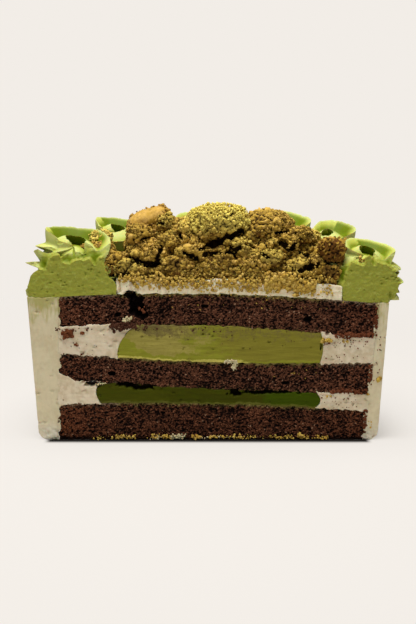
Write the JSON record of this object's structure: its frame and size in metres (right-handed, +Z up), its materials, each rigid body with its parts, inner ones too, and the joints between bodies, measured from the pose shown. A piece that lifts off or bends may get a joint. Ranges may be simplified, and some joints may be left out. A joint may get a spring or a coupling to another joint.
{
  "type": "matcha chocolate layer cake half",
  "caption": "Half of a round layer cake, cut straight across: chocolate sponge with matcha fillings and pale cream, piped matcha swirls round the rim and a heap of baked crumble on top.",
  "frame": {"origin": "middle of the bottom of the whole object's box", "axes": "+Z up; the flat cut face looks along -Y; +X to the right as seen looking at the cut face"},
  "size_m": [0.1802, 0.0862, 0.1163],
  "materials": {
    "sponge": "open, matt chocolate crumb",
    "cream": "soft matt cream",
    "coat": "smoothed matt cream, tinged green near the top",
    "filling_light": "smooth matcha cream",
    "filling_dark": "smooth, dense dark matcha filling",
    "matcha_cream": "smooth piped cream, slightly satin",
    "crumble": "rough, dry baked crumbs"
  },
  "bodies": {
    "root": {"sponge_bottom": "sponge", "sponge_middle": "sponge", "sponge_top": "sponge", "filling_lower": "filling_dark", "filling_upper": "filling_light", "cream_ring_lower": "cream", "cream_ring_upper": "cream", "cream_coat": "coat", "cream_top": "cream", "crumble_lump_biscuit": "crumble", "crumble_lump_matcha": "crumble", "crumble_lump_right": "crumble", "crumble_lump_edge": "crumble", "crumble_lump_foot": "crumble", "crumble_lump_corner": "crumble", "crumble_lump_front": "crumble", "crumble_lump_rim": "crumble", "crumble_lump_dusted": "crumble", "matcha_swirl_1": "matcha_cream", "matcha_swirl_2": "matcha_cream", "matcha_swirl_3": "matcha_cream", "matcha_swirl_4": "matcha_cream", "matcha_swirl_5": "matcha_cream", "matcha_swirl_6": "matcha_cream", "crumble_heap": "crumble"}
  },
  "joints": []
}
